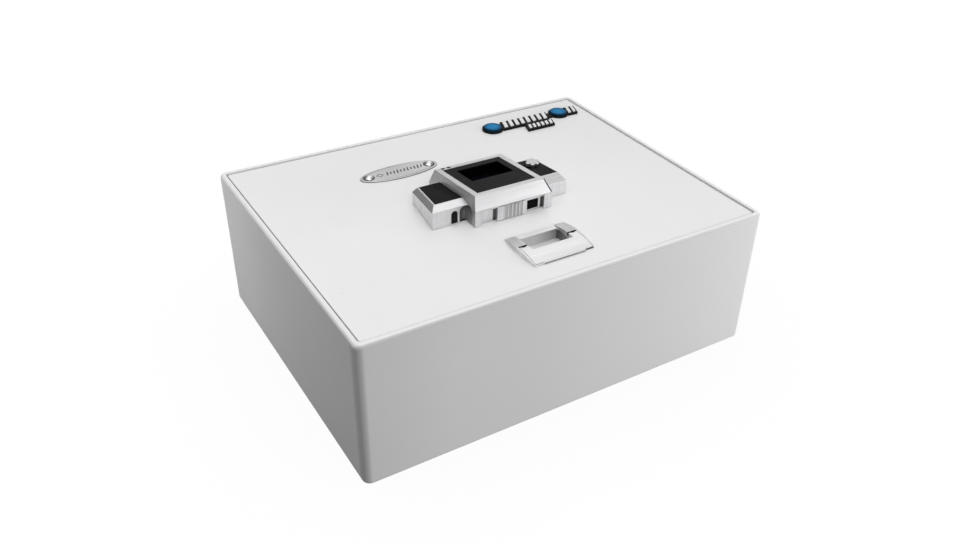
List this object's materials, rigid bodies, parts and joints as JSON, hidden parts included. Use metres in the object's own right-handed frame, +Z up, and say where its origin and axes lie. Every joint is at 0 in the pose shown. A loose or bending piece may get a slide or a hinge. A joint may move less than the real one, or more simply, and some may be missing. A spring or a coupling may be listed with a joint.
{
  "type": "top-opening gun safe",
  "caption": "Low white steel drawer safe with a hinged top lid, scanner lock module, flush pull, locking bolts and felt-lined interior.",
  "frame": {"origin": "centre of the footprint on the underside", "axes": "+X to the right along the long side, +Y towards the hinge side, +Z up; the flush pull is towards -Y"},
  "size_m": [0.41, 0.315, 0.1677],
  "materials": {
    "box_paint": "fine white powder coat",
    "lid_paint": "smooth white powder coat",
    "mat_foam": "black needle felt",
    "zinc_steel": "bright zinc plate",
    "cast_satin": "satin chrome on zinc casting",
    "pull_satin": "satin nickel",
    "black_gloss": "gloss black",
    "black_satin": "satin black",
    "rubber_black": "black rubber",
    "sensor_glass": "dark optical glass",
    "led_lens": "smoked lens",
    "knob_chrome": "bright chrome",
    "brass": "turned brass",
    "bolt_steel": "turned steel",
    "plate_brushed": "brushed plate",
    "rivet_chrome": "polished",
    "badge_blue": "gloss blue",
    "badge_white": "gloss white",
    "board_green": "solder mask",
    "button_red": "gloss red",
    "cell_jacket": "printed jacket, no lettering",
    "cable_grey": "soft sheath",
    "cover_black": "black powder coat",
    "acetal": "natural acetal"
  },
  "bodies": {
    "box": {"body_shell": "box_paint", "floor_mat": "mat_foam", "hinge_pins": "zinc_steel", "hinge_clips": "zinc_steel", "stay_brackets": "zinc_steel", "stay_studs": "zinc_steel", "bolt_keepers": "zinc_steel", "lid_bumpers": "rubber_black"},
    "lid": {"lid_panel": "lid_paint", "hinge_lugs": "zinc_steel", "stay_arms": "zinc_steel", "hinge_screws": "zinc_steel", "scanner_housing": "cast_satin", "wing_left": "cast_satin", "wing_right": "cast_satin", "module_gasket": "rubber_black", "module_screws": "zinc_steel", "scanner_bezel": "black_gloss", "fingerprint_sensor": "sensor_glass", "status_lights": "led_lens", "right_inlay": "black_satin", "key_cylinder": "brass", "release_switch": "black_satin", "knob_bushing": "black_satin", "bolt_bracket": "zinc_steel", "bolt_bushings": "brass", "solenoid": "zinc_steel", "rack_guide": "acetal", "circuit_board": "board_green", "button_switch": "black_satin", "battery_box": "black_satin", "batteries": "cell_jacket", "inner_cover": "cover_black", "cover_screws": "zinc_steel", "cable": "cable_grey", "power_terminals": "black_satin", "slot_plug": "rubber_black", "nameplate": "plate_brushed", "nameplate_rivets": "rivet_chrome", "badge_backing": "black_satin", "badge_discs": "badge_blue", "badge_bars": "badge_white", "pull_frame": "pull_satin", "pull_pins": "zinc_steel", "pull_screws": "zinc_steel", "key_cover_strip": "black_satin"},
    "bail": {"pull_bail": "pull_satin"},
    "bolts": {"bolt_bar": "zinc_steel", "locking_bolts": "bolt_steel", "bolt_rack": "bolt_steel", "bolt_screws": "zinc_steel"},
    "knob": {"turn_knob": "knob_chrome", "knob_pinion": "bolt_steel"},
    "plunger": {"solenoid_plunger": "bolt_steel"},
    "key_cover_body": {"key_cover": "black_satin"},
    "key": {"key_core": "brass", "key_cam": "zinc_steel"},
    "terminal_slider": {"terminal_cover": "cast_satin"},
    "button": {"learn_button": "button_red"},
    "door": {"battery_door": "black_satin"}
  },
  "joints": [
    {"name": "lid_hinge", "type": "hinge", "parent": "box", "child": "lid", "pos_m": [0, 0.137, 0.1345], "axis": [-1, 0, 0], "range_deg": [0, 95]},
    {"name": "pull_hinge", "type": "hinge", "parent": "lid", "child": "bail", "pos_m": [0, -0.104, 0.143], "axis": [-1, 0, 0], "range_deg": [0, 90]},
    {"name": "bolt_slide", "type": "slide", "parent": "lid", "child": "bolts", "axis": [0, -1, 0], "range_m": [0, 0.0094]},
    {"name": "knob_turn", "type": "hinge", "parent": "lid", "child": "knob", "pos_m": [0.052, 0.0025, 0.14], "axis": [0, 0, 1], "range_deg": [0, 90]},
    {"name": "plunger_slide", "type": "slide", "parent": "lid", "child": "plunger", "axis": [1, 0, 0], "range_m": [0, 0.004]},
    {"name": "key_cover_flip", "type": "hinge", "parent": "lid", "child": "key_cover_body", "pos_m": [-0.0545, 0.01445, 0.15473], "axis": [-1, 0, 0], "range_deg": [0, 100]},
    {"name": "key_turn", "type": "hinge", "parent": "lid", "child": "key", "pos_m": [-0.0555, -0.004, 0.14], "axis": [0, 0, 1], "range_deg": [0, 90]},
    {"name": "terminal_cover_slide", "type": "slide", "parent": "lid", "child": "terminal_slider", "axis": [1, 0, 0], "range_m": [0, 0.016]},
    {"name": "learn_button_press", "type": "slide", "parent": "lid", "child": "button", "axis": [0, 0, 1], "range_m": [0, 0.0015], "stiffness_N_per_m": 300},
    {"name": "battery_door_slide", "type": "slide", "parent": "lid", "child": "door", "axis": [1, 0, 0], "range_m": [0, 0.02]}
  ],
  "couplings": [
    {"joint": "knob_turn", "follows": "bolt_slide", "rad_per_m": 166.67}
  ]
}
